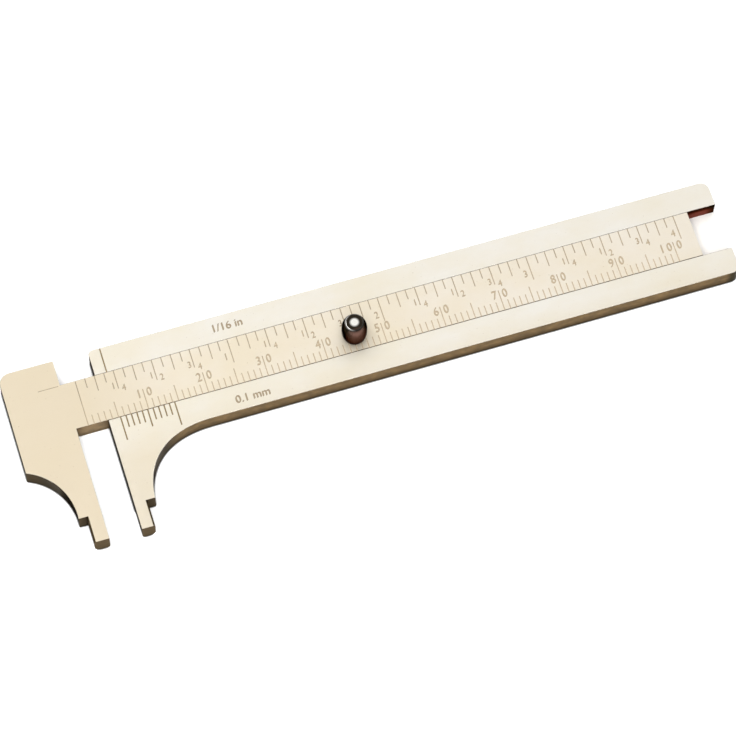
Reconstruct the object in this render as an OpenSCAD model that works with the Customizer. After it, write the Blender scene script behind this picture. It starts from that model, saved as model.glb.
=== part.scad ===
// Pocket vernier caliper: a grooved brass frame, a brass slide with its jaw, and a steel thumb knob.
// The origin lies in the fixed jaw's measuring plane, on the groove's centre line and on the back face.
// X runs along the rule away from the sliding jaw, Y runs across it away from the jaw tips, Z is up.

/* [Frame] */
// Length of the frame from its measuring plane to its far end
frame_length = 105.7; // [104:0.1:130]
// Thickness of the frame and of the sliding jaw
plate_thickness = 3.5; // [3:0.1:5]
// Width of each rail beside the groove
rail_width = 4.4; // [3.6:0.1:7]
// Width of the groove where it opens in the front face
groove_width = 8.26; // [7:0.02:12]
// Thickness of the floor that joins the rails under the groove
floor_thickness = 0.4; // [0.3:0.05:0.8]
// Angle at which the groove walls lean in towards the front face
wall_lean = 2; // [0:0.5:4]
// Radius of the frame's two corners at its far end
far_corner_radius = 1.4; // [0.3:0.1:3]
// Radius of the frame's upper corner beside the sliding jaw
near_corner_radius = 0.8; // [0.3:0.1:2]

/* [Jaws] */
// Distance from the groove's centre line to the jaw tips
jaw_reach = 23.8; // [20:0.1:32]
// Length of the narrow nib at each jaw tip
nib_length = 4.6; // [3:0.1:7]
// Width of the fixed jaw's nib
fixed_nib_width = 2.2; // [2.1:0.1:3]
// Width of the sliding jaw's nib
head_nib_width = 2.5; // [2.1:0.1:3]
// Width of the fixed jaw where its nib begins
fixed_neck_width = 3.5; // [3.1:0.1:5]
// Width of the sliding jaw where its nib begins
head_neck_width = 3.8; // [3.1:0.1:5]
// Radius of a nib's outer edge at the front
nib_front_radius = 0.4; // [0.2:0.1:1.2]
// Radius of a nib's outer edge at the back, which touches the wall of a bore
nib_outer_radius = 1.2; // [0.4:0.1:1.2]
// Radius of a nib's edge between its measuring face and the back
nib_back_radius = 0.7; // [0.2:0.1:0.9]
// Distance from the fixed jaw's measuring plane to where its curve leaves the rail
fixed_jaw_spread = 16; // [12:0.5:30]

/* [Slide] */
// How far the slide's far end stands out of the frame when the jaws are shut
slide_overhang = 0.35; // [0:0.05:2]
// Thickness of the bar that runs in the groove
bar_thickness = 3; // [2:0.1:3]
// Gap between each flank of the bar and the wall of the groove
flank_clearance = 0.03; // [0.02:0.01:0.08]
// Width of the sliding jaw's head
head_width = 9.75; // [8:0.05:14]
// Distance that the sliding jaw's curve starts below the bar
head_cheek = 5.1; // [3:0.1:7]
// Radius of the head's upper outer corner
head_corner_radius = 1.9; // [0.5:0.1:3]
// How far the head is cut back above the bar, behind its measuring plane
head_relief = 0.5; // [0.2:0.1:1.5]

/* [Travel] */
// Gap between the jaws as the caliper lies in the photograph
opening = 5.3; // [0:0.1:60]
// Widest gap between the jaws, where the slide meets its stop
full_opening = 102; // [95:0.5:102]

/* [Thumb knob] */
// Distance from the slide's measuring plane to the knob
knob_place = 47.3; // [20:0.1:80]
// Distance that the knob and the spring rivet lie below the bar's centre line
knob_offset = 1.3; // [0:0.1:1.8]
// Height of the knob above the slide
knob_height = 5; // [3:0.1:7]
// Widest radius of the knob
knob_radius = 2.1; // [1.9:0.05:3]
// Height of the straight belt round the knob's middle
knob_belt = 0.5; // [0.1:0.1:1.5]
// Radius of the knob's foot
knob_foot_radius = 1.5; // [1.3:0.05:1.8]
// Radius of the crisp edge round the knob's top
knob_top_radius = 1.45; // [0.8:0.05:1.8]
// Height of the slight dome inside that edge
knob_dome = 0.15; // [0.05:0.05:0.4]
// Radius of the threaded stem that holds the knob in the slide
stem_radius = 1; // [0.7:0.05:1.2]

/* [Stop pin] */
// Radius of the pin that stops the slide
pin_radius = 0.5; // [0.4:0.05:0.7]
// Distance from the fixed jaw's measuring plane to the pin
pin_place = 1.5; // [1.4:0.1:1.6]
// How far the pin stands out of the upper rail into the slide's slot
pin_reach = 0.6; // [0.4:0.05:0.9]
// Gap between the pin and each wall of the slot
slot_clearance = 0.1; // [0.05:0.05:0.3]

/* [Friction spring] */
// Length of the leaf spring
spring_length = 15; // [10:0.5:25]
// Width of the leaf spring
spring_width = 3; // [2:0.1:3.4]
// Thickness of the leaf spring
spring_thickness = 0.2; // [0.15:0.05:0.25]
// Length of the spring's flat end, which the rivet clamps
spring_pad = 3; // [2.4:0.1:5]
// Distance from the slide's far end to the spring's flat end
spring_setback = 0.2; // [0.1:0.05:0.3]
// Gap all round the spring in its pocket, and between the bow and the groove's floor
spring_clearance = 0.04; // [0.03:0.01:0.08]
// Depth of the pocket in the slide's back
pocket_depth = 0.55; // [0.5:0.05:0.6]
// Distance from the slide's far end to the spring rivet
rivet_inset = 1.2; // [1.1:0.1:1.6]
// Radius of the rivet's shank
rivet_radius = 0.45; // [0.3:0.05:0.6]
// Radius of the rivet's head
rivet_head_radius = 0.9; // [0.7:0.05:1]

/* [Hidden] */
$fn = 64;

brass = "#E9DCC0";
steel = "#4A4440";
bronze = "#B98A5A";

// A cut passes this far through the faces that it opens
overcut = 1;

half_width = groove_width / 2 + rail_width;
shoulder_y = -(jaw_reach - nib_length);
groove_depth = plate_thickness - floor_thickness;
slide_length = frame_length + slide_overhang;
bar_width = groove_width - 2 * flank_clearance;
bar_back = plate_thickness - bar_thickness;
pocket_roof = bar_back + pocket_depth;
rivet_place = slide_length - rivet_inset;
rivet_seat = pocket_roof - spring_thickness;

// The slot ends where the pin stops the slide at its full opening
slot_near_end = pin_place - pin_radius - 3 * slot_clearance;
slot_far_end = full_opening + pin_place + pin_radius;
slot_level = bar_back + bar_thickness / 2;

// Handles of the jaw curves, as shares of each curve's run along X and its drop along Y
fixed_rail_handle = [-0.67, 0];
fixed_neck_handle = [0.03, 0.57];
head_cheek_handle = [0.72, -0.18];
head_neck_handle = [0.04, 0.38];

// Steepness at which the knob's shoulder meets the edge round its top
shoulder_lean = 60;

// Points of an arc about a centre, from one angle to another
function arc(centre, radius, from, to, steps = 12) = [
    for (i = [0 : steps])
        let (angle = from + (to - from) * i / steps)
        centre + radius * [cos(angle), sin(angle)]
];

// Points of a smooth curve that leaves its start and meets its end along the two handles
function blend(start, start_handle, end_handle, end, steps = 28) = [
    for (i = [0 : steps])
        let (t = i / steps, s = 1 - t)
        s * s * s * start + 3 * s * s * t * start_handle + 3 * s * t * t * end_handle + t * t * t * end
];

// Points of part of an ellipse that is upright at the knob's belt and leans over up to its other end
function swell(belt, end, from, to, lean, steps = 10) = [
    for (i = [0 : steps])
        let (angle = from + (to - from) * i / steps)
        let (inward = (1 - cos(angle)) / (1 - cos(lean)), along = sin(angle) / sin(lean))
        [belt.x + (end.x - belt.x) * inward, belt.y + (end.y - belt.y) * along]
];

// Points of a shallow dome from its edge to the middle of its top
function dome(edge, rise, steps = 6) =
    let (radius = (edge.x * edge.x + rise * rise) / (2 * rise))
    let (spread = asin(edge.x / radius))
    [
        for (i = [1 : steps])
            let (angle = spread * (1 - i / steps))
            [radius * sin(angle), edge.y + rise + radius * (cos(angle) - 1)]
    ];

// A handle given as shares, in millimetres
function scaled(handle, run, drop) = [handle.x * run, handle.y * drop];

// Outline of the frame without its nib, where the fixed jaw's curve sweeps down from the lower rail
module frame_outline() {
    rail_end = [fixed_jaw_spread, -half_width];
    neck_end = [fixed_neck_width, shoulder_y];
    run = rail_end.x - neck_end.x;
    drop = rail_end.y - neck_end.y;
    far = frame_length - far_corner_radius;
    polygon(concat(
        [[0, shoulder_y]],
        arc([near_corner_radius, half_width - near_corner_radius], near_corner_radius, 180, 90),
        arc([far, half_width - far_corner_radius], far_corner_radius, 90, 0),
        arc([far, far_corner_radius - half_width], far_corner_radius, 0, -90),
        blend(
            rail_end,
            rail_end + scaled(fixed_rail_handle, run, drop),
            neck_end + scaled(fixed_neck_handle, run, drop),
            neck_end
        )
    ));
}

// Outline of the head without its nib, with a cheek that curves in to the neck
module head_outline() {
    cheek = [-head_width, -groove_width / 2 - head_cheek];
    neck_end = [-head_neck_width, shoulder_y];
    run = neck_end.x - cheek.x;
    drop = cheek.y - neck_end.y;
    corner = [head_corner_radius - head_width, half_width - head_corner_radius];
    polygon(concat(
        [[0, shoulder_y], [0, bar_width / 2], [-head_relief, bar_width / 2], [-head_relief, half_width]],
        arc(corner, head_corner_radius, 90, 180),
        blend(
            cheek,
            cheek + scaled(head_cheek_handle, run, drop),
            neck_end + scaled(head_neck_handle, run, drop),
            neck_end
        )
    ));
}

// Section of a nib seen along the jaw, with its measuring face at x = 0
module nib_section(width) {
    front = [width - nib_front_radius, plate_thickness - nib_front_radius];
    outer = [width - nib_outer_radius, nib_outer_radius];
    polygon(concat(
        [[0, plate_thickness]],
        arc(front, nib_front_radius, 90, 0),
        arc(outer, nib_outer_radius, 0, -90),
        arc([nib_back_radius, nib_back_radius], nib_back_radius, -90, -180)
    ));
}

// A nib, which reaches from inside the jaw's neck down to the tip
module nib(width) {
    root = 1;
    translate([0, root + shoulder_y, 0])
        rotate([90, 0, 0])
            linear_extrude(nib_length + root)
                nib_section(width);
}

// Section across the groove or the bar, whose flanks lean in towards the front face
module leaning_section(front_width, depth) {
    front = front_width / 2;
    back = front + depth * tan(wall_lean);
    floor_level = plate_thickness - depth;
    polygon([
        [-front, plate_thickness],
        [-back, floor_level],
        [back, floor_level],
        [front, plate_thickness]
    ]);
}

// Runs a section along X from one place to another
module run_along(from, to) {
    translate([from, 0, 0])
        rotate([90, 0, 90])
            linear_extrude(to - from)
                children();
}

// The groove that the slide runs in, open at both ends and at the front
module groove() {
    run_along(-overcut, frame_length + overcut) {
        leaning_section(groove_width, groove_depth);
        translate([-groove_width / 2, plate_thickness])
            square([groove_width, overcut]);
    }
}

// The stop pin's shape, driven into the upper rail from its outer edge
module pin_shape(tip_y) {
    translate([pin_place, half_width, slot_level])
        rotate([90, 0, 0])
            cylinder(r = pin_radius, h = half_width - tip_y);
}

// The slot in the bar's upper flank that the stop pin runs in
module stop_slot() {
    depth = pin_reach + slot_clearance;
    height = 2 * (pin_radius + slot_clearance);
    translate([slot_near_end, groove_width / 2 - depth, slot_level - height / 2])
        cube([slot_far_end - slot_near_end, depth + overcut, height]);
}

// The pocket for the spring in the slide's back, milled in from the far end
module spring_pocket() {
    width = spring_width + 2 * spring_clearance;
    length = spring_setback + spring_length + 3 * spring_thickness;
    translate([slide_length - length, -knob_offset - width / 2, bar_back - overcut])
        cube([length + overcut, width, pocket_depth + overcut]);
}

// A hole or shank through the bar, on the line of the knob and the rivet
module upright(place, radius, from, to) {
    translate([place, -knob_offset, from])
        cylinder(r = radius, h = to - from);
}

// Everything that the slide carries stands open by the gap between the jaws
module opened() {
    translate([-opening, 0, 0])
        children();
}

// The two rails, the floor that joins them and the fixed jaw are one piece of brass
module frame() {
    color(brass)
        difference() {
            union() {
                linear_extrude(plate_thickness)
                    frame_outline();
                nib(fixed_nib_width);
            }
            groove();
            pin_shape(0);
        }
}

// The bar, its head and the sliding jaw are one piece of brass
module slide() {
    color(brass)
        opened()
            difference() {
                union() {
                    linear_extrude(plate_thickness)
                        head_outline();
                    mirror([1, 0, 0])
                        nib(head_nib_width);
                    run_along(-2 * head_relief, slide_length)
                        leaning_section(bar_width, bar_thickness);
                }
                stop_slot();
                spring_pocket();
                upright(knob_place, stem_radius, 0, plate_thickness + overcut);
                upright(rivet_place, rivet_radius, 0, plate_thickness + overcut);
            }
}

// The knob is turned in one piece with the stem that screws into the bar
module thumb_knob() {
    foot = plate_thickness;
    edge = foot + knob_height - knob_dome;
    swelling = (knob_height - knob_dome - knob_belt) / 2;
    lean = shoulder_lean;
    color(steel)
        opened()
            translate([knob_place, -knob_offset, 0])
                rotate_extrude()
                    polygon(concat(
                        [[0, bar_back], [stem_radius, bar_back], [stem_radius, foot]],
                        swell([knob_radius, foot + swelling], [knob_foot_radius, foot], 90, 0, 90),
                        swell([knob_radius, edge - swelling], [knob_top_radius, edge], 0, lean, lean),
                        dome([knob_top_radius, edge], knob_dome)
                    ));
}

// A plain pin whose tip stops the slide at the far end of its slot
module stop_pin() {
    color(brass)
        pin_shape(groove_width / 2 - pin_reach);
}

// The leaf lies flat on the pocket's roof at the rivet and bows down to the groove's floor
module friction_spring() {
    start = slide_length - spring_setback;
    pad_end = start - spring_pad;
    half_chord = (spring_length - spring_pad) / 2;
    dip = rivet_seat - floor_thickness - spring_clearance;
    inner = (half_chord * half_chord + dip * dip) / (2 * dip);
    outer = inner + spring_thickness;
    centre = [pad_end - half_chord, pocket_roof - dip + inner];
    spread = asin(half_chord / inner);
    color(bronze)
        opened()
            difference() {
                translate([0, spring_width / 2 - knob_offset, 0])
                    rotate([90, 0, 0])
                        linear_extrude(spring_width)
                            polygon(concat(
                                [[start, pocket_roof], [start, rivet_seat]],
                                arc(centre, outer, spread - 90, -spread - 90, 20),
                                arc(centre, inner, -spread - 90, spread - 90, 20)
                            ));
                upright(rivet_place, rivet_radius, 0, plate_thickness);
            }
}

// The rivet is filed flush with the slide's front face and headed over the spring
module spring_rivet() {
    head_thickness = (rivet_seat - floor_thickness) / 2;
    color(brass)
        opened()
            union() {
                upright(rivet_place, rivet_radius, rivet_seat, plate_thickness);
                upright(rivet_place, rivet_head_radius, rivet_seat - head_thickness, rivet_seat);
            }
}

frame();
slide();
thumb_knob();
stop_pin();
friction_spring();
spring_rivet();
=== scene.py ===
"""Dresses the pocket vernier caliper: engraved brass, turned knob, small fittings and the stage."""
import math

import bpy
from bpy.props import FloatProperty, FloatVectorProperty, PointerProperty
from mathutils import Matrix, Vector


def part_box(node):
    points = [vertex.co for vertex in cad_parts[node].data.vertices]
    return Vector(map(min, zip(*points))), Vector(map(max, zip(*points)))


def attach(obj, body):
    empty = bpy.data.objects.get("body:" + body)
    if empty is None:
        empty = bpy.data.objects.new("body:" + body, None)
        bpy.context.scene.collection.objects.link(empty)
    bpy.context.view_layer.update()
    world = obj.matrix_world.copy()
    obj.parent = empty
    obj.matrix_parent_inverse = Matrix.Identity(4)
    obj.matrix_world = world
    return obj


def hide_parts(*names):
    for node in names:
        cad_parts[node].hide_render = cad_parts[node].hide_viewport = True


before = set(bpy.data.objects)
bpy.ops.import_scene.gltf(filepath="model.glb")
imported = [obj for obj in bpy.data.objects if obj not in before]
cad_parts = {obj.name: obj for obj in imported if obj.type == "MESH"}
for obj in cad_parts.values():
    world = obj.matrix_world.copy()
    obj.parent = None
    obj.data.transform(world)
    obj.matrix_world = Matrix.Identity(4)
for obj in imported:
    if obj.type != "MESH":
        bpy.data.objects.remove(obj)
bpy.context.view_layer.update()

bl_info = {
    "name": "Pocket Vernier Caliper",
    "version": (1, 0, 0),
    "blender": (4, 5, 0),
    "location": "View3D > Sidebar > Caliper",
    "description": "Engraves, turns and finishes the pieces of a pocket vernier caliper",
    "category": "Add Mesh",
}

MM = 0.001
INCH = 25.4 * MM

# Places on the CAD pieces, which everything engraved is set out from
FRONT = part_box("frame")[1].z
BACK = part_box("frame")[0].z
RAIL_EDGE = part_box("frame")[1].y
OPENING = 5.3 * MM
GROOVE_SIDE = 4.13 * MM
BAR_SIDE = 4.1 * MM
NIB_START = -19.2 * MM

# How far the scales and the vernier run, and the figures of the quarters of an inch
INCHES = 4
MILLIMETRES = 100
VERNIER_STEPS = 10
QUARTERS = ((0.25, "1", "4"), (0.5, "1", "2"), (0.75, "3", "4"))

# Places of the figures, along the rule from their line and up from the bar's centre line
TEN_OFFSETS = (0.9 * MM, -0.8 * MM, -2.05 * MM)
TEN_LEVEL = -1.12 * MM
UPPER_FIGURE = (-0.68 * MM, 1.45 * MM)
LOWER_FIGURE = (0.88 * MM, 0.75 * MM)
INCH_FIGURE = (-1.0 * MM, 1.1 * MM)

# The unit marks, each with its place on its rail
UNIT_MARKS = (("1/16 in", 22.9 * MM, 6.5 * MM), ("0.1 mm", 23.3 * MM, -6.65 * MM))

# The line that the mill left in the head: its right and left end, and its level
TOOL_LINE_ENDS = (-OPENING - 0.8 * MM, -OPENING - 4.2 * MM)
TOOL_LINE_LEVEL = BAR_SIDE - 0.15 * MM

# Width of a cutter's tip, as a share of its width
TIP_SHARE = 0.35

# Where a finish changes: the place where the change begins and the one where it is full,
# first along X, then along Y, and last along Z
# The worn lines are wear; the red walls are a painted reflection, and all the other changes are painted shade
SHADED_HEAD = (14.0 * MM, -4.0 * MM)
HEAD_SIDE_SHADE = (-9.0 * MM, -10.0 * MM)
RED_WALLS = (90.0 * MM, 98.0 * MM)
SHADED_WALL_END = (104.1 * MM, 105.3 * MM)
SHADED_SIDE_END = (103.2 * MM, 104.2 * MM)
SHADED_JAW = (-6.0 * MM, -12.0 * MM)
JAW_HOLLOW_SHADE = (-9.2 * MM, -10.8 * MM)
LIGHTER_TIP = (-18.8 * MM, -19.8 * MM)
WORN_LINES = (3.0 * MM, -3.0 * MM)
SHADED_MOUTH = (1.9 * MM, 2.6 * MM)

# On the knob, from its axis or its foot: its near side with a painted brown reflection, its edge's black
# right and its dark foot in painted shade, and a painted highlight on its top
KNOB_REFLECTING_SIDE = (-0.9 * MM, -2.0 * MM)
KNOB_BLACK_RIGHT = (-1.0 * MM, -0.2 * MM)
KNOB_DARK_FOOT = 2.0 * MM
KNOB_BRIGHT_TOP = (0.5 * MM, 0.85 * MM)

# How squarely a face looks along the rule where it begins to count as an end, and where it is one; the ends
# are painted in shade
END_FACE = (0.85, 0.97)

# How much of a face's normal lies along an axis, from a broken edge's least to a level face's
LEANING = 0.3
FACING = 0.95
NEARLY_LEVEL = 0.98
LEVEL = 0.99

# How far past the groove's sides a broken edge can lie, and how far above a nib it has to start
EDGE_MARGIN = 0.2 * MM
NIB_MARGIN = 0.1 * MM

# What counts as one point, one level, one middle, one plane and a sharp edge
SAME_POINT = 0.0005 * MM
SAME_LEVEL = 0.001 * MM
SAME_MIDDLE = 0.0001 * MM
ONE_PLANE = math.radians(0.4)
SHARP = math.radians(30.0)

# The knob's sides, the steps of each of its rounds and of its dome, and the lean where its shoulder ends
KNOB_SIDES = 96
ROUND_STEPS = 12
DOME_STEPS = 9
SHOULDER_LEAN = math.radians(60.0)

# How far the floor lies below the frame's back, and the strip light's turn and breadth
FLOOR_GAP = 0.02 * MM
STRIP_TURN = math.radians(40.0)
STRIP_BREADTH = 0.25

# The Mix node's sockets for colours, by number, because other sockets have the same names
MIX_SHARE = 0
MIX_FIRST = 6
MIX_SECOND = 7
MIX_RESULT = 2


def length(name, description, millimetres):
    """A length that a user may change, given in millimetres."""
    return FloatProperty(
        name=name, description=description, default=millimetres * MM,
        min=0.0, precision=5, unit="LENGTH",
    )


def colour(name, description, default):
    """A colour that a user may change."""
    return FloatVectorProperty(
        name=name, description=description, default=default, size=3, min=0.0, max=1.0, subtype="COLOR",
    )


class EngravingSettings(bpy.types.PropertyGroup):
    """Sizes of the engraved lines and figures. A line comes out two thirds as wide as its cutter."""

    line_width: length("Line width", "Width of the cutter for the lines on the slide", 0.24)
    vernier_width: length("Vernier width", "Width of the cutter for the lines on the frame", 0.33)
    line_depth: length("Line depth", "Depth of an engraved line", 0.09)
    zero_line: length("Zero line", "Distance from each jaw's measuring face to its zero line", 2.0)
    sixteenth: length("Sixteenth", "Length of the lines at odd sixteenths of an inch", 1.75)
    eighth: length("Eighth", "Length of the lines at odd eighths of an inch", 2.75)
    quarter: length("Quarter", "Length of the lines at odd quarters of an inch", 3.35)
    half: length("Half", "Length of the lines at half inches", 3.7)
    whole: length("Inch", "Length of the lines at whole inches", 4.35)
    one: length("Millimetre", "Length of the millimetre lines", 1.7)
    five: length("Five millimetres", "Length of the lines at odd fives of millimetres", 2.85)
    ten: length("Ten millimetres", "Length of the lines at tens of millimetres", 3.65)
    vernier_step: length("Vernier step", "Distance between two lines of the vernier", 0.9)
    vernier_short: length("Vernier short", "Length of the vernier's short lines", 2.1)
    vernier_middle: length("Vernier middle", "Length of the vernier's middle line", 3.1)
    vernier_long: length("Vernier long", "Length of the vernier's first and last line", 4.2)
    number_height: length("Number height", "Height of the millimetre numbers", 1.6)
    inch_height: length("Inch number height", "Height of the inch numbers", 1.3)
    fraction_height: length("Fraction height", "Height of the figures in a fraction", 1.2)
    unit_height: length("Unit height", "Height of the unit marks on the rails", 1.45)
    tool_line_width: length("Tool line width", "Width of the cutter for the line in the head", 0.19)


class FinishSettings(bpy.types.PropertyGroup):
    """Colours of the finishes, some of them painted shade, highlight or reflection, and the width of the
    broken edges.
    """

    edge_round: length("Edge round", "Width of the broken edges", 0.05)
    frame_brass: colour("Frame brass", "Colour of the frame's flat faces", (0.812, 0.779, 0.71))
    slide_brass: colour("Slide brass", "Colour of the slide's flat faces", (0.805, 0.742, 0.637))
    # Painted shade: darker, yellower brass toward the head and down the fixed jaw, where the reflection falls
    # off
    handled_brass: colour("Handled brass", "Colour where hands have yellowed the flats", (0.706, 0.61, 0.449))
    groove_floor: colour("Groove floor", "Colour of the groove's clean matt floor", (0.9, 0.87, 0.83))
    # Brown tarnish, darkened to paint the shade that the sides fall in
    tarnish: colour("Tarnish", "Colour of the sides, where the brass has browned", (0.175, 0.12, 0.063))
    # Painted shade down the jaws' hollows and on the head's left side
    grime: colour("Grime", "Colour of the jaws' sides, where grime sits on the brass", (0.043, 0.033, 0.019))
    # Brown tarnish, darkened to paint the shade on the bar's flanks and the groove's walls
    flank: colour("Flank", "Colour of the bar's flanks and of the groove's walls", (0.25, 0.18, 0.105))
    # Painted reflection: the red that the groove's walls and floor throw at each other
    groove_red: colour("Groove red", "Colour of the groove's reddened walls", (0.22, 0.055, 0.036))
    # Painted shade at the frame's right end, along the top of the groove's walls and at their far end
    soot: colour("Soot", "Colour of the frame's blackened end and groove", (0.03, 0.028, 0.015))
    dirt: colour("Dirt", "Colour of the lines on the slide", (0.29, 0.235, 0.165))
    figure_dirt: colour("Figure dirt", "Colour of the figures on the slide", (0.32, 0.26, 0.18))
    unit_dirt: colour("Unit dirt", "Colour of the unit marks on the rails", (0.24, 0.19, 0.125))
    ink: colour("Ink", "Colour of the wide lines on the frame", (0.18, 0.13, 0.06))
    knob_steel: colour("Knob steel", "Colour of the thumb knob's blackened steel", (0.028, 0.022, 0.015))
    # Painted reflection of the brass on the knob's near side
    knob_brown: colour("Knob brown", "Colour of the knob's rubbed near side", (0.15, 0.08, 0.062))
    # Painted highlight in the middle of the knob's top
    knob_top: colour("Knob top", "Colour of the knob's top, which the thumb keeps bright", (0.98, 0.96, 0.9))
    # Bright edge round the knob's top, with painted shade that keeps its right half black
    knob_edge: colour("Knob edge", "Colour of the rubbed edge round the knob's top", (0.9, 0.87, 0.82))
    pin_brass: colour("Pin brass", "Colour of the stop pin's end, browned with the rail", (0.45, 0.34, 0.2))
    spring_bronze: colour("Spring bronze", "Colour of the friction spring", (0.72, 0.52, 0.33))


class KnobSettings(bpy.types.PropertyGroup):
    """Sizes of the turned thumb knob."""

    radius: length("Radius", "Radius of the knob's belt", 2.1)
    foot_radius: length("Foot radius", "Radius where the knob meets the slide", 1.5)
    top_radius: length("Top radius", "Radius of the knob's domed top", 1.45)
    belt: length("Belt", "Height of the straight belt", 0.5)
    dome: length("Dome", "Height of the domed top above its edge", 0.15)
    top_edge: length("Top edge", "Width of the small round on the edge of the top", 0.13)


class StageSettings(bpy.types.PropertyGroup):
    """Floor, lights and camera."""

    camera_place: FloatVectorProperty(
        name="Camera place", description="Where the camera stands", subtype="TRANSLATION",
        unit="LENGTH", default=(-0.0368, -0.25269, 0.56266),
    )
    camera_aim: FloatVectorProperty(
        name="Camera aim", description="The point in the middle of the picture", subtype="TRANSLATION",
        unit="LENGTH", default=(0.0424, -0.0075, 0.0035),
    )
    camera_roll: FloatProperty(
        name="Camera roll", description="Turn of the camera about its line of sight",
        default=math.radians(0.8), subtype="ANGLE",
    )
    lens: FloatProperty(name="Lens", description="Focal length on a 36 mm sensor", default=187.07, min=1.0)
    sky_top: FloatProperty(
        name="Sky top", description="Brightness of the room overhead", default=0.35, min=0.0,
    )
    sky_side: FloatProperty(
        name="Sky side", description="Brightness of the room's walls", default=0.25, min=0.0,
    )
    softbox: FloatProperty(
        name="Softbox", description="Power of the overhead light", default=2.3, min=0.0, unit="POWER",
    )
    fill: FloatProperty(
        name="Fill", description="Power of the light over the camera", default=14.0, min=0.0, unit="POWER",
    )
    strip: FloatProperty(
        name="Strip", description="Power of the narrow light at the left", default=2.0, min=0.0, unit="POWER",
    )
    floor: colour("Floor", "Colour of the floor", (0.93, 0.93, 0.93))


# Handling of objects, as by hand


def put_down():
    """Leaves edit mode and selects nothing."""
    if bpy.context.mode != "OBJECT":
        bpy.ops.object.mode_set(mode="OBJECT")
    bpy.ops.object.select_all(action="DESELECT")


def pick_up(piece):
    """Selects one object alone and makes it active."""
    put_down()
    piece.select_set(True)
    bpy.context.view_layer.objects.active = piece


def open_up(piece, mode="FACE"):
    """Enters edit mode on one object with nothing selected."""
    pick_up(piece)
    bpy.ops.object.mode_set(mode="EDIT")
    bpy.ops.mesh.select_mode(type=mode)
    bpy.ops.mesh.select_all(action="DESELECT")


def select_faces(piece, wanted):
    """Selects the faces that answer, from their centre and normal, and returns how many there are."""
    open_up(piece)
    bpy.ops.object.mode_set(mode="OBJECT")
    chosen = [face for face in piece.data.polygons if wanted(face.center, face.normal)]
    for face in chosen:
        face.select = True
    bpy.ops.object.mode_set(mode="EDIT")
    return len(chosen)


def select_edges(piece, wanted):
    """Selects the edges that answer, from their two ends, and returns how many there are."""
    open_up(piece, "EDGE")
    bpy.ops.object.mode_set(mode="OBJECT")
    points = [point.co for point in piece.data.vertices]
    chosen = [edge for edge in piece.data.edges if wanted(points[edge.vertices[0]], points[edge.vertices[1]])]
    for edge in chosen:
        edge.select = True
    bpy.ops.object.mode_set(mode="EDIT")
    return len(chosen)


def copy_of_node(node, name):
    """A loose copy of a CAD node with its triangles merged into whole faces."""
    piece = bpy.data.objects.new(name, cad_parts[node].data.copy())
    bpy.context.scene.collection.objects.link(piece)
    piece.data.name = name
    piece.data.materials.clear()
    open_up(piece)
    bpy.ops.mesh.select_all(action="SELECT")
    bpy.ops.mesh.remove_doubles(threshold=SAME_POINT)
    bpy.ops.mesh.customdata_custom_splitnormals_clear()
    bpy.ops.mesh.dissolve_limited(angle_limit=ONE_PLANE)
    put_down()
    return piece


def copy_to(pattern, name, place):
    """A copy of a pattern with its own mesh, moved by a matrix that is worked into the mesh."""
    piece = bpy.data.objects.new(name, pattern.data.copy())
    bpy.context.scene.collection.objects.link(piece)
    piece.data.transform(place)
    return piece


def joined(pieces, name):
    """Makes one object of several."""
    pick_up(pieces[0])
    for piece in pieces[1:]:
        piece.select_set(True)
    bpy.ops.object.join()
    pieces[0].name = name
    return pieces[0]


def throw_away(piece):
    """Removes an object that was only a tool."""
    bpy.data.objects.remove(piece)


def smoothed(piece, angle=20.0):
    """Shades curved walls smooth and leaves the crisp edges crisp."""
    pick_up(piece)
    bpy.ops.object.shade_smooth_by_angle(angle=math.radians(angle))
    put_down()


def give_material(piece, material, wanted):
    """Gives a material to the faces that answer."""
    if material.name not in piece.data.materials:
        piece.data.materials.append(material)
    if not select_faces(piece, wanted):
        raise RuntimeError(f"{piece.name} has no face for {material.name}")
    piece.active_material_index = piece.data.materials.find(material.name)
    bpy.ops.object.material_slot_assign()
    put_down()


def break_edges(piece, width, wanted, material):
    """Rounds the edges that answer, and gives the rounds a material."""
    if material.name not in piece.data.materials:
        piece.data.materials.append(material)
    if not select_edges(piece, wanted):
        raise RuntimeError(f"{piece.name} has no edge to round")
    bpy.ops.mesh.bevel(
        offset=width, offset_type="OFFSET", segments=2, profile=0.5, affect="EDGES",
        clamp_overlap=True, material=piece.data.materials.find(material.name),
    )
    put_down()


def cut_away(piece, tool, overlapping=False):
    """Takes a tool's shape out of a piece and throws the tool away."""
    cut = piece.modifiers.new("Cut", "BOOLEAN")
    cut.use_self = overlapping
    cut.operation = "DIFFERENCE"
    cut.solver = "EXACT"
    cut.material_mode = "TRANSFER"
    cut.object = tool
    pick_up(piece)
    bpy.ops.object.modifier_apply(modifier=cut.name)
    throw_away(tool)
    open_up(piece, "EDGE")
    bpy.ops.mesh.select_non_manifold()
    put_down()
    if not piece.data.polygons or any(edge.select for edge in piece.data.edges):
        raise RuntimeError(f"{piece.name} is not a closed solid after the cut")


# Finishes


def feed(tree, socket, value):
    """Links another node's output to a socket, or sets the socket to a plain value."""
    if isinstance(value, bpy.types.NodeSocket):
        tree.links.new(value, socket)
    else:
        socket.default_value = value


def add(tree, kind, inputs, **settings):
    """Adds a shader node, sets it, and links or fills its inputs."""
    made = tree.nodes.new(kind)
    for name, value in settings.items():
        setattr(made, name, value)
    for name, value in inputs.items():
        feed(tree, made.inputs[name], value)
    return made


def steps(tree, value, low, high, low_result=0.0, high_result=1.0):
    """Maps a value from one range to another, and holds it inside."""
    return add(tree, "ShaderNodeMapRange", {
        "Value": value, "From Min": low, "From Max": high, "To Min": low_result, "To Max": high_result,
    }).outputs["Result"]


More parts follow.
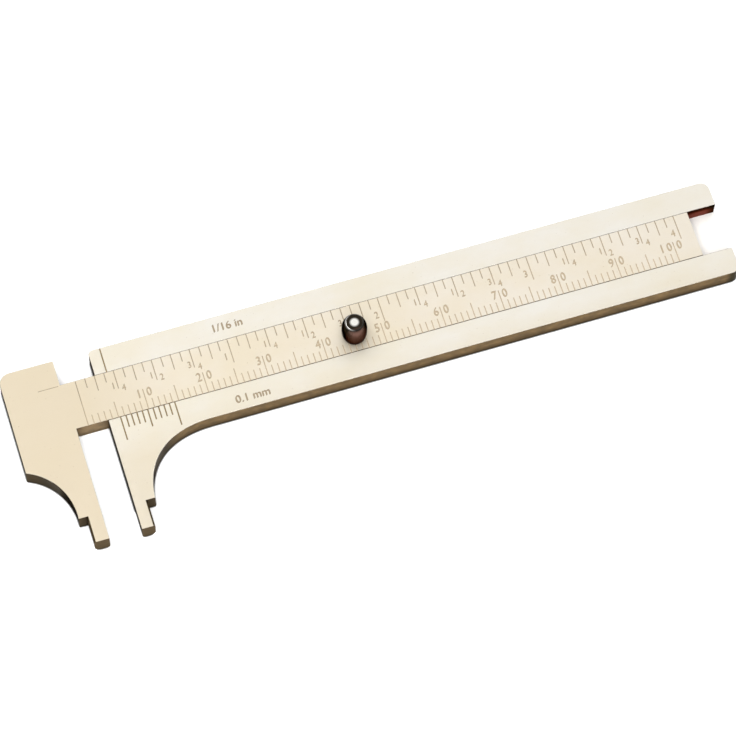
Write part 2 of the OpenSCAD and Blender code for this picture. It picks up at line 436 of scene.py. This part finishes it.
def blended(tree, share_of_second, first, second):
    """Mixes two colours."""
    inputs = {MIX_SHARE: share_of_second, MIX_FIRST: first, MIX_SECOND: second}
    return add(tree, "ShaderNodeMix", inputs, data_type="RGBA").outputs[MIX_RESULT]


def rgba(rgb, factor=1.0):
    """A colour with its fourth number, made lighter or darker by a factor."""
    return (rgb[0] * factor, rgb[1] * factor, rgb[2] * factor, 1.0)


def shifted(rgb, red, green, blue):
    """A colour with its fourth number and a factor of its own for each of the others."""
    return (rgb[0] * red, rgb[1] * green, rgb[2] * blue, 1.0)


def new_finish(name):
    """A new material, its tree and its shader."""
    material = bpy.data.materials.new(name)
    material.use_nodes = True
    return material, material.node_tree, material.node_tree.nodes["Principled BSDF"]


def dress(tree, shader, tint, rough, metal, relief=None):
    """Gives a shader its colour, roughness and metal, and a fine relief where it has one."""
    feed(tree, shader.inputs["Base Color"], tint)
    feed(tree, shader.inputs["Roughness"], rough)
    feed(tree, shader.inputs["Metallic"], metal)
    if relief:
        feed(tree, shader.inputs["Normal"], add(tree, "ShaderNodeBump", relief).outputs["Normal"])


def stretched(tree, scale, turn=0.0):
    """Object coordinates, stretched and turned in the plane of the faces."""
    place = add(tree, "ShaderNodeTexCoord", {}).outputs["Object"]
    return add(tree, "ShaderNodeMapping", {
        "Vector": place, "Scale": scale, "Rotation": (0.0, 0.0, turn),
    }).outputs["Vector"]


def grain(tree, scale, detail, turn=0.0):
    """Stretched noise: rubbing marks, clouds or specks, by its scale."""
    return add(tree, "ShaderNodeTexNoise", {
        "Vector": stretched(tree, scale, turn), "Scale": 1.0, "Detail": detail, "Roughness": 0.6,
    }).outputs["Fac"]


def by_place(tree, axis, span, at_start=0.0, at_end=1.0):
    """A value that runs from one to another between two places along an axis of the object."""
    place = add(tree, "ShaderNodeTexCoord", {}).outputs["Object"]
    along = add(tree, "ShaderNodeSeparateXYZ", {"Vector": place}).outputs[axis]
    return steps(tree, along, *span, at_start, at_end)


def turned_along(tree, axis):
    """How far a face turns toward one axis of the object, either way."""
    normal = add(tree, "ShaderNodeTexCoord", {}).outputs["Normal"]
    part = add(tree, "ShaderNodeSeparateXYZ", {"Vector": normal}).outputs[axis]
    return add(tree, "ShaderNodeMath", {0: part}, operation="ABSOLUTE").outputs["Value"]


def brass(name, rgb, rough=0.5, wear=1.0, handled=None):
    """Satin brass with clouds, fine scratches and dark specks, with painted shade that darkens and yellows it
    where its reflection falls off.

    That painted shade is a colour, an axis, the two places along it between which that colour comes in,
    and its most share.
    """
    material, tree, shader = new_finish(name)
    clouds = grain(tree, (70.0, 110.0, 110.0), 4.0)
    rubbing = grain(tree, (900.0, 14000.0, 14000.0), 2.0)
    scratches = grain(tree, (350.0, 16000.0, 500.0), 2.0, math.radians(31.0))
    specks = grain(tree, (2600.0, 2600.0, 2600.0), 2.0)
    yellower = shifted(rgb, 0.97, 0.94, 0.86)
    tint = blended(tree, steps(tree, clouds, 0.35, 0.65), rgba(rgb), yellower)
    # Painted shade: darker and yellower where the reflection falls off
    if handled:
        colour_there, axis, span, most = handled
        tint = blended(tree, by_place(tree, axis, span, 0.0, most), tint, rgba(colour_there))
    scratched = steps(tree, scratches, 0.68, 0.74, 0.0, 0.16 * wear)
    dull = blended(tree, scratched, tint, rgba(rgb, 0.6))
    brown = shifted(rgb, 0.45, 0.35, 0.22)
    dark = blended(tree, steps(tree, specks, 0.7, 0.76, 0.0, 0.4 * wear), dull, brown)
    uneven = steps(tree, rubbing, 0.3, 0.7, rough - 0.03, rough + 0.04)
    relief = {"Height": rubbing, "Strength": 0.05, "Distance": 0.004 * MM}
    dress(tree, shader, dark, uneven, 0.75, relief)
    return material


def matt_brass(name, rgb):
    """Clean brass as the mill left it, dull, with the cutter's marks along the groove."""
    material, tree, shader = new_finish(name)
    marks = grain(tree, (200.0, 5000.0, 5000.0), 3.0)
    tint = blended(tree, marks, rgba(rgb, 0.97), rgba(rgb, 1.02))
    relief = {"Height": marks, "Strength": 0.15, "Distance": 0.008 * MM}
    dress(tree, shader, tint, 0.5, 0.4, relief)
    return material


def tarnished_brass(name, rgb, grime, changes=()):
    """Brown brass, tarnished and made darker as painted shade, blotched, with more painted shade down the
    jaws, darkest by the back and on the ends.

    Each change is a colour, an axis, the two places along it between which it comes in, its most share,
    and how much of the sheen it takes away; each paints shade or a reflection.
    """
    material, tree, shader = new_finish(name)
    blotches = grain(tree, (700.0, 900.0, 900.0), 4.0)
    marks = grain(tree, (300.0, 300.0, 9000.0), 3.0)
    lighter = shifted(rgb, 1.25, 1.2, 1.1)
    browned = blended(tree, steps(tree, blotches, 0.35, 0.7), rgba(rgb, 0.8), lighter)
    streaked = blended(tree, steps(tree, marks, 0.55, 0.75, 0.0, 0.4), browned, rgba(rgb, 0.5))
    # Painted shade: darkest by the back, where the piece lies on the floor
    by_back = by_place(tree, "Z", (BACK, (BACK + FRONT) / 2), 0.9, 0.0)
    back_shaded = blended(tree, by_back, streaked, rgba(rgb, 0.15))
    # Painted shade down the jaws' hollows, lighter again toward the nibs' tips
    jaw_shaded = blended(tree, by_place(tree, "Y", JAW_HOLLOW_SHADE, 0.0, 0.9), back_shaded, rgba(grime))
    tint = blended(tree, by_place(tree, "Y", LIGHTER_TIP, 0.0, 0.35), jaw_shaded, rgba(rgb))
    sheen = (0.5, 0.5, 0.5, 1.0)
    no_sheen = (0.0, 0.0, 0.0, 1.0)
    for colour_there, axis, span, most, dulled in changes:
        tint = blended(tree, by_place(tree, axis, span, 0.0, most), tint, rgba(colour_there))
        sheen = blended(tree, by_place(tree, axis, span, 0.0, dulled), sheen, no_sheen)
    # Painted shade: the faces that look along the rule are darker and without sheen
    across = turned_along(tree, "X")
    darker = steps(tree, across, *END_FACE, 0.0, 0.75)
    dark_ends = blended(tree, darker, tint, rgba(rgb, 0.2))
    dull_ends = blended(tree, steps(tree, across, *END_FACE), sheen, no_sheen)
    relief = {"Height": marks, "Strength": 0.2, "Distance": 0.01 * MM}
    dress(tree, shader, dark_ends, steps(tree, marks, 0.3, 0.7, 0.34, 0.5), 1.0, relief)
    feed(tree, shader.inputs["Specular Tint"], dull_ends)
    return material


def engraved_dirt(name, rgb, worn_factor=1.0):
    """Dark wax and dirt that fill an engraved line, paler toward the lower edge by a factor."""
    material, tree, shader = new_finish(name)
    patches = grain(tree, (1500.0, 1500.0, 1500.0), 3.0)
    patchy = blended(tree, patches, rgba(rgb, 0.7), rgba(rgb, 1.6))
    tint = blended(tree, by_place(tree, "Y", WORN_LINES), patchy, rgba(rgb, 1.15 * worn_factor))
    dress(tree, shader, tint, steps(tree, patches, 0.3, 0.7, 0.55, 0.8), 0.2)
    return material


def blackened_steel(name, settings, top):
    """Blackened steel, turned, with a painted brown reflection on its near side, painted shade at its foot,
    and a painted highlight in the middle of its top.
    """
    material, tree, shader = new_finish(name)
    rings = grain(tree, (400.0, 400.0, 16000.0), 3.0)
    nicks = grain(tree, (3000.0, 3000.0, 3000.0), 2.0)
    steel = settings.knob_steel
    black = blended(tree, steps(tree, nicks, 0.6, 0.72), rgba(steel), rgba(steel, 1.8))
    # Painted reflection: the brass's brown on the knob's near side
    near = by_place(tree, "Y", [top[1] + shift for shift in KNOB_REFLECTING_SIDE])
    browned = blended(tree, near, black, rgba(settings.knob_brown))
    # Painted shade at the knob's foot, where it stands on the slide
    at_foot = by_place(tree, "Z", (FRONT, FRONT + KNOB_DARK_FOOT), 0.9, 0.0)
    brown = blended(tree, at_foot, browned, rgba(steel, 0.3))
    place = add(tree, "ShaderNodeTexCoord", {}).outputs["Object"]
    distance = add(tree, "ShaderNodeVectorMath", {0: place, 1: top}, operation="DISTANCE").outputs["Value"]
    # Painted highlight: bright in the middle of the top
    brightened = steps(tree, distance, *KNOB_BRIGHT_TOP, 1.0, 0.0)
    tint = blended(tree, brightened, brown, rgba(settings.knob_top))
    polish = steps(tree, rings, 0.3, 0.7, 0.12, 0.22)
    dulled = steps(tree, near, 0.0, 1.0, 0.0, 0.2)
    rough = add(tree, "ShaderNodeMath", {0: polish, 1: dulled}, operation="ADD").outputs["Value"]
    relief = {"Height": rings, "Strength": 0.06, "Distance": 0.01 * MM}
    dress(tree, shader, tint, rough, 1.0, relief)
    shader.inputs["Specular Tint"].default_value = (0.3, 0.3, 0.3, 1.0)
    return material


def rubbed_steel(name, rgb, black, middle):
    """A bright steel edge that catches a highlight on its left, with painted shade that keeps it black on its
    right.
    """
    material, tree, shader = new_finish(name)
    nicks = grain(tree, (3000.0, 3000.0, 3000.0), 2.0)
    bright = blended(tree, nicks, rgba(rgb, 0.7), rgba(rgb, 1.1))
    # Painted shade: black on the right of the edge
    at_right = by_place(tree, "X", [middle + shift for shift in KNOB_BLACK_RIGHT], 0.0, 0.92)
    dress(tree, shader, blended(tree, at_right, bright, rgba(black)), 0.2, 1.0)
    return material


def rolled_strip(name, rgb):
    """Rolled spring bronze, with heat colours where it was tempered."""
    material, tree, shader = new_finish(name)
    heat = grain(tree, (160.0, 400.0, 400.0), 2.0)
    rolling = grain(tree, (250.0, 9000.0, 9000.0), 3.0)
    tempered = shifted(rgb, 0.8, 0.6, 0.55)
    tint = blended(tree, steps(tree, heat, 0.35, 0.7), rgba(rgb), tempered)
    dress(tree, shader, tint, steps(tree, rolling, 0.3, 0.7, 0.25, 0.42), 1.0)
    return material


def pale_floor(name, rgb):
    """Pale matt paper, with a painted contact shadow right beside what lies on it."""
    material, tree, shader = new_finish(name)
    fibres = grain(tree, (900.0, 900.0, 900.0), 3.0)
    paper = blended(tree, fibres, rgba(rgb, 0.995), rgba(rgb, 1.005))
    # Painted contact shadow: darker where the paper is hemmed in by what lies on it
    open_sky = add(tree, "ShaderNodeAmbientOcclusion", {"Distance": 0.4 * MM}).outputs["AO"]
    beside = steps(tree, open_sky, 0.55, 0.85, 0.9, 0.0)
    dress(tree, shader, blended(tree, beside, paper, rgba(rgb, 0.12)), 0.9, 0.0)
    return material


# Engraving tools


def line_pattern(width, depth, filling):
    """A cutter one metre long, narrower toward its tip, which goes into a face by half of its height."""
    put_down()
    bpy.ops.mesh.primitive_cube_add(size=1.0, location=(0.0, 0.5, 0.0))
    pattern = bpy.context.active_object
    pattern.data.materials.append(filling)
    pattern.scale = (width, 1.0, 2.0 * depth)
    bpy.ops.object.transform_apply(location=True, rotation=True, scale=True)
    select_faces(pattern, lambda centre, normal: normal.z < -FACING)
    bpy.ops.transform.resize(value=(TIP_SHARE, 1.0, 1.0))
    put_down()
    return pattern


def line(pattern, x, start, end):
    """One line across the rule at x, from its lower end to its upper end."""
    place = Matrix.Translation((x, start, FRONT)) @ Matrix.Diagonal((1.0, end - start, 1.0, 1.0))
    return copy_to(pattern, "line", place)


def figure(text, x, y, height, depth, narrow=0.82, bold=0.055):
    """One figure or mark, struck twice to make it bold, as a solid that stands through the front face."""
    bpy.ops.object.text_add(location=(0.0, 0.0, 0.0))
    solid = bpy.context.active_object
    solid.data.body = text
    solid.data.resolution_u = 3
    solid.data.size = 1.0
    solid.data.extrude = 1.0
    bpy.ops.object.convert(target="MESH")
    solid = bpy.context.active_object
    bpy.ops.object.mode_set(mode="EDIT")
    bpy.ops.mesh.select_all(action="SELECT")
    bpy.ops.mesh.remove_doubles(threshold=0.0001)
    bpy.ops.mesh.dissolve_limited(angle_limit=math.radians(0.5))
    bpy.ops.mesh.duplicate_move(TRANSFORM_OT_translate={"value": (bold, bold, bold)})
    put_down()
    low = [min(point.co[axis] for point in solid.data.vertices) for axis in (0, 1)]
    high = [max(point.co[axis] for point in solid.data.vertices) for axis in (0, 1)]
    across = height / (high[1] - low[1])
    middle = Matrix.Translation((-(low[0] + high[0]) / 2, -(low[1] + high[1]) / 2, 0.0))
    size = Matrix.Diagonal((across * narrow, across, depth, 1.0))
    solid.data.transform(Matrix.Translation((x, y, FRONT)) @ size @ middle)
    return solid


def longest_that_fits(count, lengths):
    """The length of the first part that divides the count, from the largest part down."""
    return next(reach for part, reach in lengths.items() if count % part == 0)


def inch_lines(settings, pattern, zero):
    """The sixteenths of an inch, down from the bar's upper edge."""
    lengths = {
        16: settings.whole, 8: settings.half, 4: settings.quarter, 2: settings.eighth, 1: settings.sixteenth,
    }
    top = BAR_SIDE + settings.line_width
    made = []
    for count in range(1, 16 * INCHES + 1):
        reach = longest_that_fits(count, lengths)
        made.append(line(pattern, zero + count * INCH / 16, BAR_SIDE - reach, top))
    return made


def millimetre_lines(settings, pattern, zero):
    """The millimetres, up from the bar's lower edge."""
    lengths = {10: settings.ten, 5: settings.five, 1: settings.one}
    foot = -BAR_SIDE - settings.line_width
    made = []
    for count in range(1, MILLIMETRES + 1):
        reach = longest_that_fits(count, lengths)
        made.append(line(pattern, zero + count * MM, foot, reach - BAR_SIDE))
    return made


def vernier_lines(settings, pattern, zero):
    """The vernier's steps on the lower rail, down from the groove."""
    lengths = {10: settings.vernier_long, 5: settings.vernier_middle, 1: settings.vernier_short}
    top = -GROOVE_SIDE + settings.line_width
    made = []
    for count in range(VERNIER_STEPS + 1):
        reach = longest_that_fits(count, lengths)
        made.append(line(pattern, zero + count * settings.vernier_step, -GROOVE_SIDE - reach, top))
    return made


def millimetre_numbers(settings, zero):
    """The tens, whose line passes between the last figure and the others."""
    made = []
    for ten in range(10, MILLIMETRES + 1, 10):
        for text, offset in zip(reversed(str(ten)), TEN_OFFSETS):
            place = zero + ten * MM + offset
            made.append(figure(text, place, TEN_LEVEL, settings.number_height, settings.line_depth))
    return made


def inch_numbers(settings, zero):
    """The whole inches, and the quarters between them, each beside its line."""
    depth = settings.line_depth
    made = []
    for inch in range(INCHES):
        for part, upper, lower in QUARTERS:
            place = zero + (inch + part) * INCH
            for text, (offset, level) in ((upper, UPPER_FIGURE), (lower, LOWER_FIGURE)):
                made.append(figure(text, place + offset, level, settings.fraction_height, depth))
        offset, level = INCH_FIGURE
        place = zero + (inch + 1) * INCH + offset
        made.append(figure(str(inch + 1), place, level, settings.inch_height, depth))
    return made


def unit_marks(settings):
    """What the scales are divided in, one mark on each rail."""
    height, depth = settings.unit_height, settings.line_depth
    return [figure(text, x, y, height, depth, narrow=1.0) for text, x, y in UNIT_MARKS]


def tool_line(settings, filling):
    """A faint line that the mill left in the head, close to the line of the bar's upper edge."""
    pattern = line_pattern(settings.tool_line_width, settings.line_depth / 2, filling)
    start, end = TOOL_LINE_ENDS
    turn = Matrix.Rotation(math.radians(90.0), 4, "Z")
    place = Matrix.Translation((start, TOOL_LINE_LEVEL, FRONT)) @ turn
    made = copy_to(pattern, "tool_line", place @ Matrix.Diagonal((1.0, start - end, 1.0, 1.0)))
    throw_away(pattern)
    return made


def strike(piece, figures, name, filling):
    """Strikes figures into a piece and fills them."""
    for solid in figures:
        solid.data.materials.append(filling)
    cut_away(piece, joined(figures, name), overlapping=True)


# Faces and edges, by their place


def is_side(centre, normal):
    """Whether a face is a side or part of a round, and neither the front nor the back."""
    return abs(normal.z) < FACING


def is_left_edge(centre, normal):
    """Whether a face looks left, as part of a side or of a front edge, and takes the brown finish as painted
    shade.
    """
    return normal.x < -LEANING and normal.z < NEARLY_LEVEL


def is_flank(centre, normal):
    """Whether a face is a wall of the groove or a flank of the bar, or the broken edge along a lower one."""
    least = LEANING if centre.y < 0.0 else FACING
    return abs(normal.y) > least and abs(centre.y) < GROOVE_SIDE + EDGE_MARGIN


def is_groove_floor(centre, normal):
    """Whether a face is the floor between the rails."""
    return normal.z > LEVEL and centre.z < FRONT - MM


def on_level(first, second, level):
    """Whether an edge lies in the plane at that level."""
    return abs(first.z - level) < SAME_LEVEL and abs(second.z - level) < SAME_LEVEL


def above_nib(first, second):
    """Whether an edge starts above the nibs, which are round already and too small to be broken again."""
    return max(first.y, second.y) > NIB_START + NIB_MARGIN


def is_rim(first, second):
    """Whether an edge belongs to the rim of a hole in the bar."""
    return max(abs(first.y), abs(second.y)) < GROOVE_SIDE - MM


def edge_key(first, second):
    """A key for an edge from its middle."""
    return tuple(round(number / SAME_MIDDLE) for number in (first + second) / 2)


def sharp_edges(piece, level):
    """A test for the sharp edges in the plane at that level, without the nibs and the rims of the holes."""
    open_up(piece, "EDGE")
    bpy.ops.mesh.edges_select_sharp(sharpness=SHARP)
    bpy.ops.object.mode_set(mode="OBJECT")
    points = [point.co for point in piece.data.vertices]
    chosen = [edge.vertices for edge in piece.data.edges if edge.select]
    sharp = {edge_key(points[one], points[other]) for one, other in chosen}
    return lambda first, second: (
        on_level(first, second, level)
        and above_nib(first, second)
        and not is_rim(first, second)
        and edge_key(first, second) in sharp
    )


# The pieces and the stage


def break_all_edges(piece, width, look):
    """Breaks a brass piece's sharp edges, rubbed bright in front and brown behind, and gives what looks left
    the brown finish as painted shade.
    """
    break_edges(piece, width, sharp_edges(piece, FRONT), look["rubbed_edges"])
    break_edges(piece, width, sharp_edges(piece, BACK), look["tarnished_and_shaded_sides"])
    # Painted shade on the faces that look left
    give_material(piece, look["tarnished_and_shaded_sides"], is_left_edge)


def finishes(scene):
    """The finishes that several pieces share, each made once."""
    settings = scene.caliper_finish
    # Painted shade down the fixed jaw and toward the slide's head, where the reflection falls off
    shaded_jaw_brass = (settings.handled_brass, "Y", SHADED_JAW, 0.5)
    shaded_head_brass = (settings.handled_brass, "X", SHADED_HEAD, 0.85)
    # A painted reflection reddens the walls; painted shade darkens their top and their far end
    on_walls = (
        (settings.groove_red, "X", RED_WALLS, 1.0, 0.0),
        (settings.soot, "Z", SHADED_MOUTH, 0.7, 0.75),
        (settings.soot, "X", SHADED_WALL_END, 0.8, 0.45),
    )
    # Painted shade at the frame's right end and on the head's left side
    on_sides = (
        (settings.soot, "X", SHADED_SIDE_END, 0.85, 0.0),
        (settings.grime, "X", HEAD_SIDE_SHADE, 0.8, 0.0),
    )
    makers = {
        "frame_satin_brass": lambda name: brass(name, settings.frame_brass, handled=shaded_jaw_brass),
        "slide_satin_brass": lambda name: brass(name, settings.slide_brass, handled=shaded_head_brass),
        "rubbed_edges": lambda name: brass(name, settings.frame_brass, rough=0.25, wear=0.3),
        "groove_floor": lambda name: matt_brass(name, settings.groove_floor),
        "groove_walls": lambda name: tarnished_brass(name, settings.flank, settings.grime, on_walls),
        "bar_flanks": lambda name: tarnished_brass(name, settings.flank, settings.grime),
        "tarnished_and_shaded_sides": lambda name: tarnished_brass(name, settings.tarnish, settings.grime, on_sides),
        "engraved_dirt": lambda name: engraved_dirt(name, settings.dirt, worn_factor=1.3),
        "figure_dirt": lambda name: engraved_dirt(name, settings.figure_dirt),
        "unit_dirt": lambda name: engraved_dirt(name, settings.unit_dirt),
        "engraved_ink": lambda name: engraved_dirt(name, settings.ink),
    }
    return {name: bpy.data.materials.get(name) or make(name) for name, make in makers.items()}


class CALIPER_OT_engraved_frame(bpy.types.Operator):
    """Engraves the index line, the vernier and the unit marks in the frame, and finishes its brass"""

    bl_idname = "caliper.engraved_frame"
    bl_label = "Engraved Frame"
    bl_options = {"REGISTER", "UNDO"}

    def execute(self, context):
        settings = context.scene.caliper_engraving
        finish = context.scene.caliper_finish
        look = finishes(context.scene)
        piece = copy_of_node("frame", "engraved_frame")
        piece.data.materials.append(look["frame_satin_brass"])
        give_material(piece, look["tarnished_and_shaded_sides"], is_side)
        give_material(piece, look["groove_floor"], is_groove_floor)
        break_all_edges(piece, finish.edge_round, look)
        give_material(piece, look["groove_walls"], is_flank)
        pattern = line_pattern(settings.vernier_width, settings.line_depth, look["engraved_ink"])
        zero = settings.zero_line
        lines = vernier_lines(settings, pattern, zero)
        lines.append(line(pattern, zero, GROOVE_SIDE - settings.line_width, RAIL_EDGE + settings.line_width))
        throw_away(pattern)
        cut_away(piece, joined(lines, "lines"))
        strike(piece, unit_marks(settings), "marks", look["unit_dirt"])
        smoothed(piece)
        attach(piece, "frame")
        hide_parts("frame")
        return {"FINISHED"}


class CALIPER_OT_engraved_slide(bpy.types.Operator):
    """Engraves the inch and millimetre scales in the slide's bar, and finishes its brass"""

    bl_idname = "caliper.engraved_slide"
    bl_label = "Engraved Slide"
    bl_options = {"REGISTER", "UNDO"}

    def execute(self, context):
        settings = context.scene.caliper_engraving
        finish = context.scene.caliper_finish
        look = finishes(context.scene)
        piece = copy_of_node("slide", "engraved_slide")
        piece.data.materials.append(look["slide_satin_brass"])
        give_material(piece, look["tarnished_and_shaded_sides"], is_side)
        break_all_edges(piece, finish.edge_round, look)
        give_material(piece, look["bar_flanks"], is_flank)
        zero = settings.zero_line - OPENING
        pattern = line_pattern(settings.line_width, settings.line_depth, look["engraved_dirt"])
        lines = inch_lines(settings, pattern, zero) + millimetre_lines(settings, pattern, zero)
        zero_end = BAR_SIDE - settings.line_width / 2
        lines.append(line(pattern, zero, -zero_end, zero_end))
        throw_away(pattern)
        lines.append(tool_line(settings, look["engraved_dirt"]))
        cut_away(piece, joined(lines, "lines"))
        numbers = millimetre_numbers(settings, zero) + inch_numbers(settings, zero)
        strike(piece, numbers, "numbers", look["figure_dirt"])
        smoothed(piece)
        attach(piece, "slide")
        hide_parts("slide")
        return {"FINISHED"}


def knob_rings(settings, top):
    """Radius and level of each ring of the knob, from its foot to the middle of its domed top."""
    edge = top - settings.dome
    swelling = (edge - FRONT - settings.belt) / 2
    rings = []
    for count in range(ROUND_STEPS + 1):
        angle = math.radians(90.0 - count * 90.0 / ROUND_STEPS)
        inward = 1.0 - math.cos(angle)
        radius = settings.radius - (settings.radius - settings.foot_radius) * inward
        rings.append((radius, FRONT + swelling * (1.0 - math.sin(angle))))
    for count in range(ROUND_STEPS + 1):
        angle = SHOULDER_LEAN * count / ROUND_STEPS
        inward = (1.0 - math.cos(angle)) / (1.0 - math.cos(SHOULDER_LEAN))
        radius = settings.radius - (settings.radius - settings.top_radius) * inward
        rings.append((radius, edge - swelling * (1.0 - math.sin(angle) / math.sin(SHOULDER_LEAN))))
    ball = (settings.top_radius ** 2 + settings.dome ** 2) / (2 * settings.dome)
    for count in range(1, DOME_STEPS):
        radius = settings.top_radius * (1.0 - count / DOME_STEPS)
        rings.append((radius, top - ball + math.sqrt(ball ** 2 - radius ** 2)))
    return rings


class CALIPER_OT_turned_knob(bpy.types.Operator):
    """Turns the thumb knob, with a domed top, a crisp edge, a round shoulder, a belt and a narrower foot"""

    bl_idname = "caliper.turned_knob"
    bl_label = "Turned Knob"
    bl_options = {"REGISTER", "UNDO"}

    def execute(self, context):
        settings = context.scene.caliper_knob
        finish = context.scene.caliper_finish
        low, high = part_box("thumb_knob")
        middle = (low + high) / 2
        put_down()
        bpy.ops.mesh.primitive_circle_add(
            vertices=KNOB_SIDES, radius=settings.foot_radius, fill_type="NGON",
            location=(middle.x, middle.y, FRONT),
        )
        piece = context.active_object
        piece.name = piece.data.name = "turned_knob"
        bpy.ops.object.transform_apply(location=True, rotation=True, scale=True)
        open_up(piece)
        bpy.ops.mesh.select_all(action="SELECT")
        rings = knob_rings(settings, high.z)
        for (radius, level), (next_radius, next_level) in zip(rings, rings[1:]):
            bpy.ops.mesh.extrude_region_move(TRANSFORM_OT_translate={"value": (0.0, 0.0, next_level - level)})
            bpy.ops.transform.resize(
                value=(next_radius / radius, next_radius / radius, 1.0),
                center_override=(middle.x, middle.y, next_level),
            )
        bpy.ops.mesh.select_all(action="SELECT")
        bpy.ops.mesh.normals_make_consistent(inside=False)
        put_down()
        piece.data.materials.append(blackened_steel("blackened_steel", finish, (middle.x, middle.y, high.z)))
        top_edge = lambda first, second: on_level(first, second, high.z - settings.dome)
        brightened = rubbed_steel("right_shaded_steel_edge", finish.knob_edge, finish.knob_steel, middle.x)
        break_edges(piece, settings.top_edge, top_edge, brightened)
        smoothed(piece, angle=35.0)
        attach(piece, "slide")
        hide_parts("thumb_knob")
        return {"FINISHED"}


class CALIPER_OT_small_fittings(bpy.types.Operator):
    """Finishes the stop pin, the friction spring and its rivet"""

    bl_idname = "caliper.small_fittings"
    bl_label = "Small Fittings"
    bl_options = {"REGISTER", "UNDO"}

    def execute(self, context):
        settings = context.scene.caliper_finish
        looks = {
            "stop_pin": brass("pin_brass_end", settings.pin_brass),
            "spring_rivet": brass("rivet_brass", settings.slide_brass),
            "friction_spring": rolled_strip("tempered_bronze", settings.spring_bronze),
        }
        for node, material in looks.items():
            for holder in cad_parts[node].material_slots:
                holder.material = material
        return {"FINISHED"}


class CALIPER_OT_stage(bpy.types.Operator):
    """Lays the pale floor, hangs the soft light and sets the camera"""

    bl_idname = "caliper.stage"
    bl_label = "Stage"
    bl_options = {"REGISTER", "UNDO"}

    def execute(self, context):
        scene = context.scene
        settings = scene.caliper_stage
        put_down()
        bpy.ops.mesh.primitive_plane_add(size=6.0, location=(0.0, 0.0, BACK - FLOOR_GAP))
        floor = context.active_object
        floor.name = "floor"
        floor.data.materials.append(pale_floor("pale_paper", settings.floor))
        paint_room(scene, settings.sky_top, settings.sky_side)
        hang_light(
            "softbox", place=(0.32, 0.4, 0.8), aim=(0.1, 0.05, 0.0), width=1.1, power=settings.softbox,
        )
        fill = hang_light(
            "fill", place=(-0.06, -0.36, 0.8), aim=(0.05, 0.0, 0.0), width=0.7, power=settings.fill,
        )
        fill.visible_glossy = False
        strip = hang_light(
            "strip", place=(-0.36, 0.28, 0.85), aim=(0.04, 0.0, 0.0), width=0.8, power=settings.strip,
        )
        strip.rotation_euler.rotate_axis("Z", STRIP_TURN)
        strip.data.shape = "RECTANGLE"
        strip.data.size_y = STRIP_BREADTH
        set_camera(scene, settings)
        scene.view_settings.view_transform = "Standard"
        return {"FINISHED"}


def paint_room(scene, top, side):
    """A pale room that is brighter overhead than at the sides."""
    scene.world = scene.world or bpy.data.worlds.new("room")
    scene.world.use_nodes = True
    tree = scene.world.node_tree
    upward = add(tree, "ShaderNodeSeparateXYZ", {
        "Vector": add(tree, "ShaderNodeTexCoord", {}).outputs["Generated"],
    }).outputs["Z"]
    tree.links.new(steps(tree, upward, 0.0, 1.0, side, top), tree.nodes["Background"].inputs["Strength"])
    tree.nodes["Background"].inputs["Color"].default_value = (1.0, 1.0, 1.0, 1.0)


def hang_light(name, place, aim, width, power):
    """A square soft light that looks at a point."""
    put_down()
    bpy.ops.object.light_add(type="AREA", location=place)
    light = bpy.context.active_object
    light.name = name
    light.data.size = width
    light.data.energy = power
    light.rotation_euler = (Vector(aim) - Vector(place)).to_track_quat("-Z", "Y").to_euler()
    return light


def set_camera(scene, settings):
    """Stands the camera where the picture was taken from."""
    place, aim = Vector(settings.camera_place), Vector(settings.camera_aim)
    put_down()
    bpy.ops.object.camera_add(location=place)
    camera = bpy.context.active_object
    camera.name = "camera"
    turn = (aim - place).to_track_quat("-Z", "Y").to_matrix() @ Matrix.Rotation(settings.camera_roll, 3, "Z")
    camera.rotation_euler = turn.to_euler()
    camera.data.sensor_width = 36.0
    camera.data.lens = settings.lens
    camera.data.clip_start = 10 * MM
    camera.data.clip_end = 20.0
    scene.camera = camera


class CALIPER_PT_maker(bpy.types.Panel):
    """Lists the caliper's pieces and the sizes that may be changed"""

    bl_idname = "CALIPER_PT_maker"
    bl_label = "Pocket Vernier Caliper"
    bl_space_type = "VIEW_3D"
    bl_region_type = "UI"
    bl_category = "Caliper"

    def draw(self, context):
        layout = self.layout
        for operator in OPERATORS:
            layout.operator(operator.bl_idname)
        for holder in SETTINGS.values():
            settings = getattr(context.scene, holder)
            box = layout.box()
            for name in settings.bl_rna.properties.keys():
                if name not in ("rna_type", "name"):
                    box.prop(settings, name)


OPERATORS = (
    CALIPER_OT_stage,
    CALIPER_OT_engraved_frame,
    CALIPER_OT_engraved_slide,
    CALIPER_OT_turned_knob,
    CALIPER_OT_small_fittings,
)
SETTINGS = {
    EngravingSettings: "caliper_engraving",
    FinishSettings: "caliper_finish",
    KnobSettings: "caliper_knob",
    StageSettings: "caliper_stage",
}


def register():
    for group, name in SETTINGS.items():
        bpy.utils.register_class(group)
        setattr(bpy.types.Scene, name, PointerProperty(type=group))
    for operator in OPERATORS:
        bpy.utils.register_class(operator)
    bpy.utils.register_class(CALIPER_PT_maker)


def unregister():
    bpy.utils.unregister_class(CALIPER_PT_maker)
    for operator in reversed(OPERATORS):
        bpy.utils.unregister_class(operator)
    for group, name in SETTINGS.items():
        delattr(bpy.types.Scene, name)
        bpy.utils.unregister_class(group)


def main():
    register()
    bpy.ops.caliper.stage()
    bpy.ops.caliper.engraved_frame()
    bpy.ops.caliper.engraved_slide()
    bpy.ops.caliper.turned_knob()
    bpy.ops.caliper.small_fittings()


if __name__ == "__main__":
    main()
